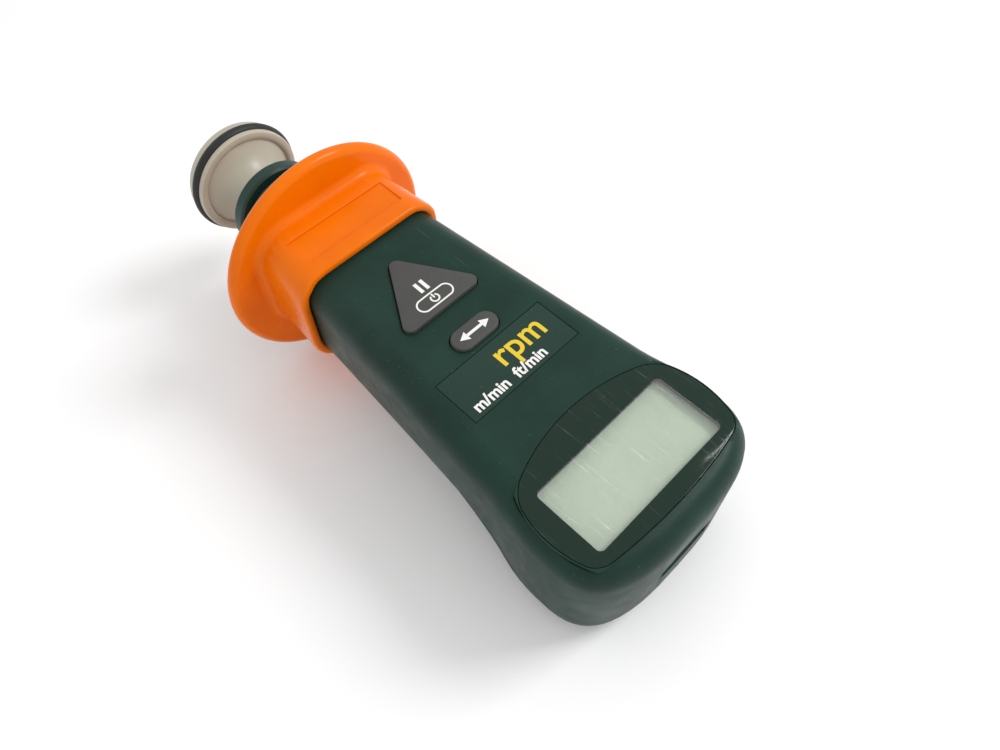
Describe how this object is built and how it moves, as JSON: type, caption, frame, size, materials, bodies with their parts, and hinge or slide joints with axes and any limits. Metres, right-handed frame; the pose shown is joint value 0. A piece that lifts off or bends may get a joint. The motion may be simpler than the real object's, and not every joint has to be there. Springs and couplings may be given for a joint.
{
  "type": "contact tachometer",
  "caption": "Hand-held contact tachometer with a display head, keys, a round finger guard and a rubber-tyred measuring wheel on a spinning spindle.",
  "frame": {"origin": "centre of the length and width, at the level of the lowest point of the guard's disc", "axes": "+Y along the spindle axis towards the measuring wheel, +Z out of the display face, +X to the right when the display is read"},
  "size_m": [0.0668, 0.1772, 0.0668],
  "materials": {
    "green_shell": "fine moulded texture",
    "clear_lens": "clear, slightly scratched",
    "lcd_glass": "satin polariser",
    "white_plastic": "moulded",
    "pink_rubber": "striped rubber",
    "label_film": "printed film",
    "grey_key": "satin",
    "red_plastic": "moulded",
    "black_plastic": "moulded",
    "board_laminate": "solder resist",
    "steel": "turned",
    "brass": "turned",
    "orange_guard": "smooth moulded",
    "beige_plastic": "smooth moulded",
    "tyre_rubber": "moulded ring",
    "brown_plastic": "moulded",
    "nickel": "plated",
    "cell_sleeve": "printed sleeve"
  },
  "bodies": {
    "housing": {"front_housing": "green_shell", "rear_housing": "green_shell", "display_lens": "clear_lens", "lcd_panel": "lcd_glass", "lcd_frame": "white_plastic", "lcd_connectors": "pink_rubber", "label_plate": "label_film", "key_switches": "black_plastic", "circuit_board": "board_laminate", "processor_chip": "black_plastic", "crystal": "steel", "board_screws": "steel", "optical_sensor": "black_plastic", "rear_bearing": "steel", "front_bearing": "steel", "bearing_clip": "steel", "nose_barrel": "green_shell", "nose_collar": "green_shell", "guard": "orange_guard", "battery_tray": "black_plastic", "contact_plates": "nickel", "contact_springs": "nickel", "battery_cell_1": "cell_sleeve", "battery_cell_2": "cell_sleeve", "battery_cell_3": "cell_sleeve", "battery_cell_4": "cell_sleeve", "housing_screws": "steel"},
    "spindle_group": {"spindle": "steel", "encoder_disc": "black_plastic", "disc_hub": "brass", "spindle_clip": "steel"},
    "wheel_group": {"measuring_wheel": "beige_plastic", "wheel_tyre": "tyre_rubber"},
    "power_key_group": {"power_key": "grey_key", "power_plunger": "red_plastic"},
    "unit_key_group": {"unit_key": "grey_key", "unit_plunger": "red_plastic"},
    "door_group": {"battery_door": "green_shell", "door_latch": "brown_plastic"}
  },
  "joints": [
    {"name": "spindle_spin", "type": "hinge", "parent": "housing", "child": "spindle_group", "pos_m": [0, 0.0511, 0.0334], "axis": [0, 1, 0], "continuous": true},
    {"name": "wheel_pull", "type": "slide", "parent": "spindle_group", "child": "wheel_group", "axis": [0, 1, 0], "range_m": [0, 0.02]},
    {"name": "power_key_press", "type": "slide", "parent": "housing", "child": "power_key_group", "axis": [0, 0, -1], "range_m": [0, 0.0006], "stiffness_N_per_m": 1200, "springref_m": -0.0003},
    {"name": "unit_key_press", "type": "slide", "parent": "housing", "child": "unit_key_group", "axis": [0, 0, -1], "range_m": [0, 0.0006], "stiffness_N_per_m": 1200, "springref_m": -0.0003},
    {"name": "battery_door_swing", "type": "hinge", "parent": "housing", "child": "door_group", "pos_m": [0, -0.0585, 0.01289], "axis": [1, 0, 0], "range_deg": [0, 60]}
  ]
}
